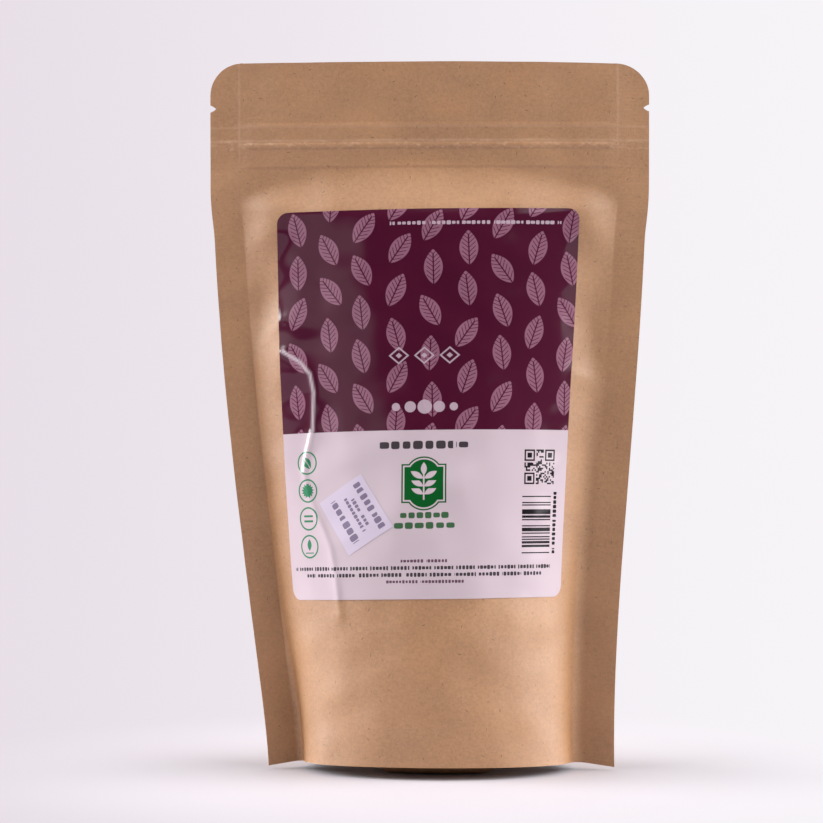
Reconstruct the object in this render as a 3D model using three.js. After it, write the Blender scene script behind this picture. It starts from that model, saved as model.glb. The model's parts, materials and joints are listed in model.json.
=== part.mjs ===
// A kraft-paper stand-up pouch with a press-to-close zipper, a printed label and a small lot sticker,
// filled with dried dates. Millimetres, +Z up. The pouch stands on z = 0 with its front facing -Y, and the
// origin is the middle of its box, at the bottom.
//
// Every sheet starts flat: u runs across the pouch from -65 to 65 and v up from its bottom edge. A shape
// function bends a flat point (u, v) into place, and the sheet's thickness is laid off along its normal.
import * as THREE from 'three';

// The pouch laid flat
const flatWidth = 130;
const flatHeight = 210;
const sideSeal = 9;
const cornerRadius = 9.5;
const notchHeight = 196.5;
const notchDepth = 1.4;
const notchHalfWidth = 0.8;
const gussetHeight = 36;
const bottomSeal = 5;

// The pouch filled and standing
const fullTurn = 1.29; // radians that a level turns from its middle to its side seal, low down
const turnEnd = 205; // height at which that turn would run out
const turnPower = 1.26;
const footTurn = 0.28; // the extra turn at the foot, and how much squarer its levels are
const footSquare = 0.8;
const footTop = 68;
const bulgeTop = 184; // the bulge fades out below the zipper, lower at the sides than in the middle
const bulgeFade = 22;
const bulgeSideDrop = 5;
const topBow = 5; // how far the top bows forward between its corners
const bowStart = 90;
const topDip = 0.8; // the top is cut a little low at its right end
const heightKept = 0.991; // what bending leaves of the flat height
const tipLift = 1; // how far the tips of the side seals hang clear of the table, beside the gusset
const edgeLift = 1; // how much further the bottom edges do where they meet the side seals
const midLift = 1.7; // and how much further still in their middle
const liftTop = 186;
const footShift = 2.8; // sideways drift of the foot
const footShiftTop = 156;
const leanLeft = 0.45; // radians that the side seals lean forward at the foot
const leanRight = 0.25;
const leanTop = 170;

// Thicknesses and gaps
const wall = 0.4;
const gap = 0.35; // between the panels in the seals
const gussetGap = 0.4; // between the gusset and each panel
const stickerGap = 0.4; // under the label, and under the sticker
const sealHalf = (wall + gap) / 2; // from the middle plane to a panel's middle surface
const labelThickness = 0.3;

// The zipper
const zipHeight = 185.1;
const zipHalfHeight = 6;
const zipHalfLength = 52.5;
const stripHalf = 0.45; // from the middle plane to a strip's outer face
const channelDepth = 1.3; // the same, over the channel of the back strip
const zipGap = 0.3;
const zipFade = 1.5; // the panels close up again within this height above and below the strips

// The label and the sticker on it
const labelWidth = 90;
const labelHeight = 116;
const labelPlace = [-0.9, 107];
const labelTurn = THREE.MathUtils.degToRad(0.8);
const labelSlant = 0.029; // sideways run of its upright edges, which slid as it was stuck on
const labelRadius = 3.5;
const stickerWidth = 16.3;
const stickerHeight = 18.2;
const stickerPlace = [-21.8, 73.5];
const stickerTurn = THREE.MathUtils.degToRad(32);

// The dates
const dateCount = 20;
const dateLength = 40;
const dateRadius = 9.8;
const dateFlatness = 0.94; // how thick a date is for its width
const wrinkleDepth = 0.045; // as a share of its radius
const dateClearance = 0.35; // kept round each date as they settle
const wallClearance = 1.3;
const dateSeed = 20;

const halfWidth = flatWidth / 2;
const bodyHalf = halfWidth - sideSeal;

const { clamp } = THREE.MathUtils;
const smooth = (value, from, to) => THREE.MathUtils.smoothstep(value, from, to);
const shareAcross = (u) => Math.min(Math.abs(u) / bodyHalf, 1);

// A level of the body is a curve of fixed paper length, from its middle to its side seal. Its direction
// turns steadily with the paper's length, and near the foot it turns later and further, which squares it.
// Adding up short steps along that direction gives how far across and how deep a point of it lies.
const turnSteps = 24;

function levelPoint(u, v) {
  const s = shareAcross(u);
  const top = bulgeTop - bulgeSideDrop * s * s;
  const fade = 1 - smooth(v, top - bulgeFade, top);
  const foot = Math.max(0, 1 - Math.max(v, 0) / footTop) ** 2;
  const turn = fullTurn * Math.max(0, 1 - (Math.max(v, 0) / turnEnd) ** turnPower) + footTurn * foot;
  const direction = (t) => fade * (turn * t + footSquare * foot * (t ** 3 - t));
  let across = 0;
  let deep = 0;
  for (let k = 0; k < turnSteps; k++) {
    const share = (k + 0.5) / turnSteps;
    across += (bodyHalf * s * Math.cos(direction(s * share))) / turnSteps;
    deep += (bodyHalf * (1 - s) * Math.sin(direction(s + (1 - s) * share))) / turnSteps;
  }
  return [across, deep];
}

// Dents and swells pressed into the bulge: the middle in flat coordinates, the reach each way, the depth.
const frontSwells = [
  { at: [-50, 136], reach: [8, 15], out: -2.6 },
  { at: [-45, 118], reach: [11, 9], out: 2.2 },
  { at: [50, 134], reach: [8, 19], out: -2.4 },
  { at: [50, 108], reach: [8, 9], out: 1.2 },
  { at: [-50, 160], reach: [7, 8], out: 1.2 },
  { at: [51, 160], reach: [7, 8], out: 1.4 },
];
const backSwells = [
  { at: [-49, 128], reach: [9, 16], out: -2.4 },
  { at: [48, 140], reach: [9, 14], out: -2.8 },
  { at: [44, 118], reach: [12, 9], out: 1.8 },
  { at: [0, 150], reach: [30, 14], out: -1.2 },
];

function swell(u, v, list) {
  const inside = 1 - shareAcross(u) ** 8;
  let out = 0;
  for (const { at, reach, out: depth } of list) {
    out += depth * Math.exp(-(((u - at[0]) / reach[0]) ** 2) - ((v - at[1]) / reach[1]) ** 2);
  }
  return out * inside;
}

// Half the space that the zipper keeps between the panels' middle surfaces, more over the back's channel.
const beadHalf = 1.2;

function halfGap(u, v, side) {
  const open = 1 - smooth(Math.abs(u), zipHalfLength, bodyHalf);
  const away = Math.abs(v - zipHeight);
  const overFlange = 1 - smooth(away, zipHalfHeight, zipHalfHeight + zipFade);
  const overBead = 1 - smooth(away, beadHalf, 2 * beadHalf);
  const flange = stripHalf + zipGap + wall / 2 - sealHalf;
  const bead = channelDepth - stripHalf;
  const back = side > 0 ? bead * overBead : 0;
  return sealHalf + open * (flange * overFlange + back);
}

// The plane midway between the panels, drifted, bowed and leaning as the pouch is.
function middlePoint(u, v) {
  const [reach] = levelPoint(u, v);
  const s = shareAcross(u);
  const beyond = Math.max(Math.abs(u) - bodyHalf, 0);
  const lean = (u < 0 ? leanLeft : leanRight) * Math.max(0, 1 - v / leanTop);
  const drift = footShift * Math.max(0, 1 - v / footShiftTop) ** 2;
  const bow = topBow * (1 - (u / halfWidth) ** 2) * smooth(v, bowStart, flatHeight);
  const fromTip = Math.min(1, (halfWidth - Math.abs(u)) / sideSeal);
  const lift = (edgeLift * fromTip + midLift * (1 - s * s)) * Math.max(0, 1 - (v / liftTop) ** 3);
  const dip = topDip * Math.max(0, u / halfWidth) ** 2 * smooth(v, flatHeight - 20, flatHeight);
  return new THREE.Vector3(
    Math.sign(u) * (reach + beyond * Math.cos(lean)) + drift,
    -bow - beyond * Math.sin(lean),
    v * heightKept + tipLift + lift - dip,
  );
}

// The middle surface of a panel, at the flat point (u, v). side is -1 for the front and 1 for the back.
function panelPoint(side, u, v) {
  const [, bulge] = levelPoint(u, v);
  const swells = swell(u, v, side < 0 ? frontSwells : backSwells);
  const point = middlePoint(u, v);
  point.y += side * (bulge + swells + halfGap(u, v, side));
  return point;
}

// The same surface moved outwards, away from the other panel, by a distance along its normal.
function panelOffset(side, u, v, distance) {
  const step = 0.4;
  const across = panelPoint(side, u + step, v).sub(panelPoint(side, u - step, v));
  const up = panelPoint(side, u, v + step).sub(panelPoint(side, u, v - step));
  const normal = across.cross(up).normalize().multiplyScalar(-side);
  return panelPoint(side, u, v).addScaledVector(normal, distance);
}

// A closed thin sheet from rows of points on its middle surface. Both faces are split alike.
function sheetFrom(rows, thickness) {
  const high = rows.length;
  const wide = rows[0].length;
  const at = (j, i) => rows[clamp(j, 0, high - 1)][clamp(i, 0, wide - 1)];
  const positions = [];
  for (const face of [0.5, -0.5]) {
    for (let j = 0; j < high; j++) {
      for (let i = 0; i < wide; i++) {
        const across = at(j, i + 1).clone().sub(at(j, i - 1));
        const up = at(j + 1, i).clone().sub(at(j - 1, i));
        const normal = across.cross(up).normalize();
        positions.push(...at(j, i).clone().addScaledVector(normal, face * thickness).toArray());
      }
    }
  }
  const other = high * wide;
  const index = [];
  const quad = (a, b, c, d) => index.push(a, b, c, a, c, d);
  for (let j = 0; j + 1 < high; j++) {
    for (let i = 0; i + 1 < wide; i++) {
      const a = j * wide + i;
      const [b, c, d] = [a + 1, a + wide + 1, a + wide];
      index.push(a, b, c, a, c, d);
      index.push(a + other, c + other, b + other, a + other, d + other, c + other);
    }
  }
  for (let i = 0; i + 1 < wide; i++) {
    const top = (high - 1) * wide;
    quad(i, i + other, i + 1 + other, i + 1);
    quad(top + i + 1, top + i + 1 + other, top + i + other, top + i);
  }
  for (let j = 0; j + 1 < high; j++) {
    const left = j * wide;
    const right = left + wide - 1;
    quad(left + wide, left + wide + other, left + other, left);
    quad(right, right + other, right + wide + other, right + wide);
  }
  const geometry = new THREE.BufferGeometry();
  geometry.setAttribute('position', new THREE.Float32BufferAttribute(positions, 3));
  geometry.setIndex(index);
  geometry.computeVertexNormals();
  return geometry;
}

// The columns of the panels: both side seals, then closer together where the bulge turns most.
const columnsRight = [7, 14, 21, 28, 34, 40, 45, 49.5, 53, 56, 60.5, 65];
const columns = [...columnsRight.map((u) => -u).reverse(), 0, ...columnsRight];

// The half width of the flat pouch at a height: round top corners, and a tear notch in each edge.
function outline(v) {
  const intoCorner = v - (flatHeight - cornerRadius);
  const cut = intoCorner > 0 ? cornerRadius - Math.sqrt(Math.max(0, cornerRadius ** 2 - intoCorner ** 2)) : 0;
  const notch = notchDepth * Math.max(0, 1 - Math.abs(v - notchHeight) / notchHalfWidth);
  return halfWidth - cut - notch;
}

function panelRows() {
  const rows = [];
  const away = [beadHalf, 2 * beadHalf, zipHalfHeight, zipHalfHeight + zipFade];
  const zipRows = [...away.map((d) => zipHeight - d).reverse(), ...away.map((d) => zipHeight + d)];
  const lowRows = 21;
  for (let k = 0; k < lowRows; k++) rows.push((k / lowRows) * zipRows[0]);
  rows.push(...zipRows);
  rows.push(notchHeight - notchHalfWidth, notchHeight, notchHeight + notchHalfWidth);
  const cornerRows = 5;
  for (let k = 0; k <= cornerRows; k++) {
    rows.push(flatHeight - cornerRadius * (1 - Math.sin((k / cornerRows) * (Math.PI / 2))));
  }
  return rows;
}

function panelGeometry(side) {
  const rows = panelRows().map((v) => {
    const share = outline(v) / halfWidth;
    return columns.map((u) => panelPoint(side, u * share, v));
  });
  return sheetFrom(rows, wall);
}

// The seal between the gusset and a panel: low in the middle, rising to the fold at the sides.
const gussetEnd = bodyHalf - 1.5;
const sealRound = (u) => Math.sqrt(Math.max(0, 1 - (u / bodyHalf) ** 2));
const sealLine = (u) => gussetHeight - (gussetHeight - bottomSeal) * sealRound(u);

// The gusset's lowest line: flat on the table in the middle, rising to its fold at the sides.
const keelFlat = 14;
const keelTop = 34.5;
const keelPower = 1.3;
const flatShare = 0.42; // of the way to the seals that lies flat, in the middle
const keelCurve = 1.6;

function keel(u) {
  const out = Math.max(0, Math.abs(u) - keelFlat) / (gussetEnd - keelFlat);
  return wall / 2 + keelTop * out ** keelPower;
}

// How high the free part of the gusset lies, where w runs from -1 at the front seal to 1 at the back one.
function gussetLevel(u, w, rim) {
  const flat = flatShare * Math.max(0, 1 - (u / gussetEnd) ** 2);
  const share = Math.max(0, Math.abs(w) - flat) / (1 - flat);
  return keel(u) + (rim - keel(u)) * share ** keelCurve;
}

// One column of the gusset, from its front bottom edge over the keel to its back bottom edge. It is sealed
// to the panel up to the seal line, where it turns over a small crest.
function gussetColumn(u) {
  const inset = -(wall + gussetGap);
  const flap = [0.02, 0.35, 0.7, 1].map((share) => share * sealLine(u));
  const front = flap.map((v) => panelOffset(-1, u, v, inset));
  const back = flap.map((v) => panelOffset(1, u, v, inset)).reverse();
  const [from, to] = [front[flap.length - 1], back[0]];
  const middle = from.clone().lerp(to, 0.5);
  const half = to.y - middle.y;
  const crest = Math.min(1.2, 0.3 * half);
  const flat = flatShare * Math.max(0, 1 - (u / gussetEnd) ** 2);
  const ways = [1 - crest / half, 0.82, 0.66, 0.5, flat];
  const free = [...ways.map((w) => -w), ...ways.reverse()].map((w) => (
    new THREE.Vector3(middle.x, middle.y + half * w, gussetLevel(u, w, middle.z))
  ));
  free[0].z += crest;
  free[free.length - 1].z += crest;
  return [...front, ...free, ...back];
}

function gussetGeometry() {
  const inner = columns.filter((u) => Math.abs(u) < bodyHalf);
  const stations = [-gussetEnd, ...inner, gussetEnd];
  const byColumn = stations.map(gussetColumn);
  const rows = byColumn[0].map((_, j) => byColumn.map((column) => column[j]));
  return sheetFrom(rows, wall);
}

// A strip of the zipper: a closed profile in (depth, height), drawn along the pouch's bowed top.
function stripGeometry(profile) {
  const stations = columns.filter((u) => Math.abs(u) < zipHalfLength);
  const path = [-zipHalfLength, ...stations, zipHalfLength];
  const positions = [];
  for (const u of path) {
    for (const [depth, height] of profile) {
      const middle = middlePoint(u, zipHeight + height);
      positions.push(middle.x, middle.y + depth, middle.z);
    }
  }
  const count = profile.length;
  const index = [];
  for (let k = 0; k + 1 < path.length; k++) {
    for (let i = 0; i < count; i++) {
      const [a, b] = [k * count + i, k * count + ((i + 1) % count)];
      index.push(a, b, b + count, a, b + count, a + count);
    }
  }
  const contour = profile.map(([depth, height]) => new THREE.Vector2(depth, height));
  const last = (path.length - 1) * count;
  for (const [a, b, c] of THREE.ShapeUtils.triangulateShape(contour, [])) {
    index.push(c, b, a, last + a, last + b, last + c);
  }
  const geometry = new THREE.BufferGeometry();
  geometry.setAttribute('position', new THREE.Float32BufferAttribute(positions, 3));
  geometry.setIndex(index);
  geometry.computeVertexNormals();
  return geometry;
}

// The front strip carries an arrow-headed rib, and the back strip the channel that it snaps into. Each
// profile lists (depth, height) corners of a strip that is alike above and below its middle.
const flange = 0.3; // thickness of the flat of a strip
const ribTop = [[-stripHalf, zipHalfHeight], [flange - stripHalf, zipHalfHeight]];
const ribHead = [[flange - stripHalf, 0.2], [0.45, 0.2], [0.45, 0.5], [0.8, 0.3]];
const channelTop = [[stripHalf, zipHalfHeight], [stripHalf - flange, zipHalfHeight]];
const channelLip = [[stripHalf - flange, 1], [0.05, 1], [0.05, 0.4], [0.25, 0.4], [0.25, 0.7], [1, 0.7]];
const channelBack = [[channelDepth, 1], [stripHalf, 1]];
const below = (upper) => upper.map(([depth, height]) => [depth, -height]).reverse();
const ribbedStrip = [...ribTop, ...ribHead, ...below(ribHead), ...below(ribTop)].reverse();
const channelledStrip = [
  ...channelTop, ...channelLip, ...below(channelLip), ...below(channelTop), ...below(channelBack), ...channelBack,
];

// A round-cornered rectangle stuck on the front, at a distance over the panel's middle surface.
function stickerGeometry({ width, height, radius, place, turn, slant, cells, distance }) {
  const straight = height / 2 - radius;
  const rounding = radius > 0 ? [0, 30, 60] : [];
  const corners = rounding.map((angle) => straight + radius * Math.cos(THREE.MathUtils.degToRad(angle)));
  const heights = corners.map((y) => -y);
  for (let k = 0; k <= cells[1]; k++) heights.push(straight * ((2 * k) / cells[1] - 1));
  heights.push(...corners.reverse());
  const rows = heights.map((y) => {
    const into = Math.max(0, Math.abs(y) - straight);
    const reach = width / 2 - radius + Math.sqrt(Math.max(0, radius * radius - into * into));
    const row = [];
    for (let k = 0; k <= cells[0]; k++) {
      const x = reach * ((2 * k) / cells[0] - 1) + slant * y;
      const u = place[0] + x * Math.cos(turn) - y * Math.sin(turn);
      const v = place[1] + x * Math.sin(turn) + y * Math.cos(turn);
      row.push(panelOffset(-1, u, v, distance));
    }
    return row;
  });
  return sheetFrom(rows, labelThickness);
}

// A repeatable stream of numbers between 0 and 1.
function randomFrom(seed) {
  let state = seed;
  return () => {
    state = (Math.imul(state, 1664525) + 1013904223) >>> 0;
    return state / 4294967296;
  };
}

// The levels of the body, sampled once: at each, how far across and how deep it is at even shares of u.
const levelStep = 4;
const shareCount = 14;
const bodyLevels = [];
for (let v = 0; v <= flatHeight; v += levelStep) {
  const level = [];
  for (let k = 0; k <= shareCount; k++) level.push(levelPoint((k / shareCount) * bodyHalf, v));
  bodyLevels.push(level);
}

// Where a distance across lies on a sampled level: its share of u and its depth.
function onLevel(level, across) {
  let k = 1;
  while (k < shareCount && level[k][0] < across) k++;
  const [from, to] = [level[k - 1], level[k]];
  const part = clamp((across - from[0]) / Math.max(to[0] - from[0], 1e-6), 0, 1.5);
  return [(k - 1 + part) / shareCount, from[1] + part * (to[1] - from[1])];
}

// How deep the pouch is inside, to the front or back of its middle plane, at x and z.
function roomAt(x, z) {
  const drift = footShift * Math.max(0, 1 - z / footShiftTop) ** 2;
  const height = clamp(z / levelStep, 0, bodyLevels.length - 1.001);
  const low = Math.floor(height);
  const across = Math.abs(x - drift);
  const [, under] = onLevel(bodyLevels[low], across);
  const [, over] = onLevel(bodyLevels[low + 1], across);
  return under + (height - low) * (over - under);
}

// How high the gusset lies under a point of the floor.
function floorAt(x, y) {
  const [share] = onLevel(bodyLevels[Math.round(bottomSeal / levelStep)], Math.abs(x - footShift));
  const u = Math.min(share * bodyHalf, gussetEnd);
  const rim = sealLine(u) + tipLift + edgeLift + midLift;
  const w = Math.min(Math.abs(y) / Math.max(roomAt(x, rim), 1), 1);
  return gussetLevel(u, w, rim);
}

// The nearest points of two rods, as shares along each, and the way from the second to the first.
function nearest(p, q) {
  const [d1, d2] = [p[1].clone().sub(p[0]), q[1].clone().sub(q[0])];
  const r = p[0].clone().sub(q[0]);
  const [a, e, f, b, c] = [d1.dot(d1), d2.dot(d2), d2.dot(r), d1.dot(d2), d1.dot(r)];
  const denominator = a * e - b * b;
  let s = denominator > 1e-9 ? clamp((b * f - c * e) / denominator, 0, 1) : 0.5;
  const t = clamp((b * s + f) / e, 0, 1);
  s = clamp((b * t - c) / a, 0, 1);
  const way = p[0].clone().addScaledVector(d1, s).sub(q[0].clone().addScaledVector(d2, t));
  return [s, t, way];
}

// The dates settle in the pouch: each is a round-ended rod that sinks, and is pushed off the others and
// off the walls until they all lie clear.
function settleDates() {
  const random = randomFrom(dateSeed);
  const reach = dateRadius + dateClearance;
  const rodLength = dateLength - 2 * dateRadius;
  const rods = [];
  for (let k = 0; k < dateCount; k++) {
    const heading = random() * Math.PI;
    const tilt = (random() - 0.5) * 0.9;
    const along = new THREE.Vector3(
      Math.cos(heading) * Math.cos(tilt),
      Math.sin(heading) * Math.cos(tilt),
      Math.sin(tilt),
    ).multiplyScalar(rodLength / 2);
    const middle = new THREE.Vector3((random() - 0.5) * 44 + footShift, (random() - 0.5) * 16, 24 + k * 6.5);
    rods.push([middle.clone().sub(along), middle.clone().add(along)]);
  }
  const steps = 900;
  for (let step = 0; step < steps; step++) {
    const fall = step < steps * 0.7 ? 0.25 : step < steps * 0.85 ? 0.04 : 0;
    for (const rod of rods) for (const end of rod) end.z -= fall;
    for (let round = 0; round < 4; round++) {
      rods.forEach((rod, k) => {
        for (const other of rods.slice(k + 1)) {
          const [s, t, way] = nearest(rod, other);
          const short = 2 * reach - way.length();
          if (short <= 0) continue;
          way.normalize().multiplyScalar(short / 2);
          rod[0].addScaledVector(way, 1 - s);
          rod[1].addScaledVector(way, s);
          other[0].addScaledVector(way, t - 1);
          other[1].addScaledVector(way, -t);
        }
        keepInside(rod, reach);
        const between = rod[1].clone().sub(rod[0]);
        const extra = (between.length() - rodLength) / 2;
        between.normalize().multiplyScalar(extra);
        rod[0].add(between);
        rod[1].sub(between);
      });
    }
  }
  return rods;
}

// Pushes a rod's ends off the front, the back and the gusset, along the slope that each has there.
function keepInside(rod, reach) {
  const step = 0.5;
  const clear = reach + wallClearance;
  for (const end of rod) {
    const room = roomAt(end.x, end.z);
    const slopeX = (roomAt(end.x + step, end.z) - roomAt(end.x - step, end.z)) / (2 * step);
    const slopeZ = (roomAt(end.x, end.z + step) - roomAt(end.x, end.z - step)) / (2 * step);
    const steep = Math.hypot(1, slopeX, slopeZ);
    const short = clear - (room - Math.abs(end.y)) / steep;
    if (short > 0) {
      end.x += (short * slopeX) / steep;
      end.z += (short * slopeZ) / steep;
      end.y -= (Math.sign(end.y) * short) / steep;
    }
    const floor = floorAt(end.x, end.y);
    const floorX = (floorAt(end.x + step, end.y) - floorAt(end.x - step, end.y)) / (2 * step);
    const floorY = (floorAt(end.x, end.y + step) - floorAt(end.x, end.y - step)) / (2 * step);
    const steepFloor = Math.hypot(1, floorX, floorY);
    const deep = clear - (end.z - floor) / steepFloor;
    if (deep > 0) {
      end.x -= (deep * floorX) / steepFloor;
      end.y -= (deep * floorY) / steepFloor;
      end.z += deep / steepFloor;
    }
  }
}

// A date: an egg-ended spindle with shallow lengthwise wrinkles, drawn round its rod's line.
const blunt = 0.85; // below 1, its ends are blunter than an ellipse's
const taper = 0.08; // how much slimmer one end is than the other

function dateGeometry(rod, wrinkles, phase) {
  const rings = 8;
  const sides = 12;
  const profile = [];
  for (let k = 1; k < rings; k++) {
    const along = -Math.cos((k / rings) * Math.PI);
    profile.push([along, Math.sqrt(1 - along * along) ** blunt * (1 - taper * along)]);
  }
  const positions = [0, 0, -dateLength / 2];
  for (const [along, share] of profile) {
    for (let i = 0; i < sides; i++) {
      const angle = (i / sides) * 2 * Math.PI;
      const crease = 1 - wrinkleDepth * (1 + Math.cos(wrinkles * angle + phase + 1.4 * along));
      const radius = (dateRadius * share * crease) / (1 + taper / 2);
      positions.push(
        radius * Math.cos(angle),
        dateFlatness * radius * Math.sin(angle),
        (along * dateLength) / 2,
      );
    }
  }
  positions.push(0, 0, dateLength / 2);
  const index = [];
  const last = 1 + (rings - 1) * sides;
  for (let i = 0; i < sides; i++) {
    const next = (i + 1) % sides;
    index.push(0, 1 + next, 1 + i);
    for (let k = 0; k + 1 < rings - 1; k++) {
      const [a, b] = [1 + k * sides + i, 1 + k * sides + next];
      index.push(a, b, b + sides, a, b + sides, a + sides);
    }
    index.push(last, last - sides + i, last - sides + next);
  }
  const geometry = new THREE.BufferGeometry();
  geometry.setAttribute('position', new THREE.Float32BufferAttribute(positions, 3));
  geometry.setIndex(index);
  const along = rod[1].clone().sub(rod[0]).normalize();
  geometry.applyQuaternion(new THREE.Quaternion().setFromUnitVectors(new THREE.Vector3(0, 0, 1), along));
  const middle = rod[0].clone().lerp(rod[1], 0.5);
  geometry.translate(middle.x, middle.y, middle.z);
  geometry.computeVertexNormals();
  return geometry;
}

const kraft = new THREE.MeshStandardMaterial({ color: 0xab8365, roughness: 0.62, metalness: 0 });
const film = new THREE.MeshStandardMaterial({ color: 0xd9d4cc, roughness: 0.35, metalness: 0 });
const labelPaper = new THREE.MeshStandardMaterial({ color: 0x561a34, roughness: 0.2, metalness: 0 });
const stickerPaper = new THREE.MeshStandardMaterial({ color: 0xe4dfe6, roughness: 0.45, metalness: 0 });
const dateSkin = new THREE.MeshStandardMaterial({ color: 0x3c1b0d, roughness: 0.4, metalness: 0 });

const pouch = new THREE.Group();
const labelOver = wall / 2 + stickerGap + labelThickness / 2;
const stickerOver = labelOver + labelThickness + stickerGap;

function add(name, geometry, material) {
  const mesh = new THREE.Mesh(geometry, material);
  mesh.name = name;
  pouch.add(mesh);
}

add('front_panel', panelGeometry(-1), kraft);
add('back_panel', panelGeometry(1), kraft);
add('bottom_gusset', gussetGeometry(), kraft);
add('zipper_rib_strip', stripGeometry(ribbedStrip), film);
add('zipper_channel_strip', stripGeometry(channelledStrip), film);
add('label', stickerGeometry({
  width: labelWidth,
  height: labelHeight,
  radius: labelRadius,
  place: labelPlace,
  turn: labelTurn,
  slant: labelSlant,
  cells: [18, 15],
  distance: labelOver,
}), labelPaper);
add('lot_sticker', stickerGeometry({
  width: stickerWidth,
  height: stickerHeight,
  radius: 0,
  place: stickerPlace,
  turn: stickerTurn,
  slant: 0,
  cells: [4, 5],
  distance: stickerOver,
}), stickerPaper);

const wrinkleDraw = randomFrom(dateSeed + 1);
settleDates().forEach((rod, k) => {
  const wrinkles = 3 + Math.floor(wrinkleDraw() * 3);
  const phase = wrinkleDraw() * 2 * Math.PI;
  add(`date_${String(k + 1).padStart(2, '0')}`, dateGeometry(rod, wrinkles, phase), dateSkin);
});

export default pouch;
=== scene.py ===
# Kraft-paper stand-up pouch of dates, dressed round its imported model. Every sheet is worked out in
# millimetres, first laid flat and then bent, and goes into its mesh in metres.
import json
import bpy
import numpy as np
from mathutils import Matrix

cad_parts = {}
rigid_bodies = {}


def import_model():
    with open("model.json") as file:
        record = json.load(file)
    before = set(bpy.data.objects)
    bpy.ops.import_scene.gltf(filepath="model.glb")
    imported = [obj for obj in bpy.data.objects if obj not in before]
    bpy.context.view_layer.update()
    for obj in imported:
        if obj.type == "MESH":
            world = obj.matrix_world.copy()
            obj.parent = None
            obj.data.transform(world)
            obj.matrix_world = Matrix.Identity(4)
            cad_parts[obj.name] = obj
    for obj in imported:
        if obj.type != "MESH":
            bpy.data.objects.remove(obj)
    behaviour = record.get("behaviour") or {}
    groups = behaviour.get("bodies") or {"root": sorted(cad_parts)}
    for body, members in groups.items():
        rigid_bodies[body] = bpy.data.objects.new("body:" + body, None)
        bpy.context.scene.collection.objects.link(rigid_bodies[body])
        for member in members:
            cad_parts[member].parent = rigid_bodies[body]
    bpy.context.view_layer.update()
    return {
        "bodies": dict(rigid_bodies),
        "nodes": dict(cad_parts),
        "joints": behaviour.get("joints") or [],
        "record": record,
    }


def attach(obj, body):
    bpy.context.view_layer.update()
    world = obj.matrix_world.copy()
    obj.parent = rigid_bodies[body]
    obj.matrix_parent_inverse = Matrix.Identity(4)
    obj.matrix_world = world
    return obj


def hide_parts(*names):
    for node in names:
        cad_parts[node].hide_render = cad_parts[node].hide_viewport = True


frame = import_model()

print("frame loaded:", len(frame["nodes"]), "nodes")


def smooth(value, low, high):
    t = np.clip((value - low) / (high - low), 0, 1)
    return t * t * (3 - 2 * t)


# Puts a mesh into the scene. Only the floor rides on no body.
def addObject(name, mesh, body="root"):
    thing = bpy.data.objects.new(name, mesh)
    bpy.context.scene.collection.objects.link(thing)
    if body:
        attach(thing, body)
    return thing


sharpAngle = np.radians(45)


# A mesh from whole arrays: points in millimetres, faces of four corners, and a flat place in
# millimetres for each point, which becomes the UV map "flat".
def meshFrom(name, points, faces, flat):
    mesh = bpy.data.meshes.new(name)
    mesh.from_pydata((points / 1000).tolist(), [], faces.tolist())
    corners = np.empty(len(mesh.loops), np.int32)
    mesh.loops.foreach_get("vertex_index", corners)
    layer = mesh.uv_layers.new(name="flat")
    layer.data.foreach_set("uv", flat[corners].astype(np.float32).ravel())
    mesh.polygons.foreach_set("use_smooth", np.ones(len(mesh.polygons), bool))
    mesh.set_sharp_from_angle(angle=sharpAngle)
    mesh.update()
    return mesh


# The quads of a grid of rows and columns, turning the same way as its points run.
def gridQuads(rows, columns):
    index = np.arange(rows * columns).reshape(rows, columns)
    return np.stack([index[:-1, :-1], index[:-1, 1:], index[1:, 1:], index[1:, :-1]], -1).reshape(-1, 4)


# A closed shell between an outer and an inner grid, with a rim round the border. A second material, if
# there is one, goes on the inner face.
def shellMesh(name, outer, inner, flat, looks):
    rows, columns = outer.shape[:2]
    points = np.concatenate([outer.reshape(-1, 3), inner.reshape(-1, 3)])
    index = np.arange(rows * columns).reshape(rows, columns)
    border = np.concatenate([index[0, :-1], index[:-1, -1], index[-1, :0:-1], index[:0:-1, 0]])
    beyond = np.roll(border, -1)
    behind = rows * columns
    rim = np.stack([border, border + behind, beyond + behind, beyond], -1)
    quads = gridQuads(rows, columns)
    faces = np.concatenate([quads, rim, quads[:, ::-1] + behind])
    mesh = meshFrom(name, points, faces, np.tile(flat.reshape(-1, 2), (2, 1)))
    for look in looks:
        mesh.materials.append(look)
    if len(looks) > 1:
        lining = np.arange(len(faces)) >= len(quads) + len(rim)
        mesh.polygons.foreach_set("material_index", lining.astype(np.int32))
    return mesh


# A closed thin sheet: the grid moved half the thickness both ways along its normal, which is the cross
# product of its directions across and up.
def sheetMesh(name, middle, thickness, flat, looks):
    normal = np.cross(np.gradient(middle, axis=1), np.gradient(middle, axis=0))
    normal *= thickness / 2 / np.linalg.norm(normal, axis=-1, keepdims=True)
    return shellMesh(name, middle + normal, middle - normal, flat, looks)


# Numbers spread from low to high, closer together at each of the given places.
def spread(low, high, step, places=(), fineStep=0.25, reach=1.5):
    here, values = low, [low]
    while here < high:
        near = min((abs(here - place) for place in places), default=1e9)
        here += fineStep if near < reach else min(step, fineStep + (near - reach) * 0.35)
        values.append(min(here, high))
    return np.array(values)


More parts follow.
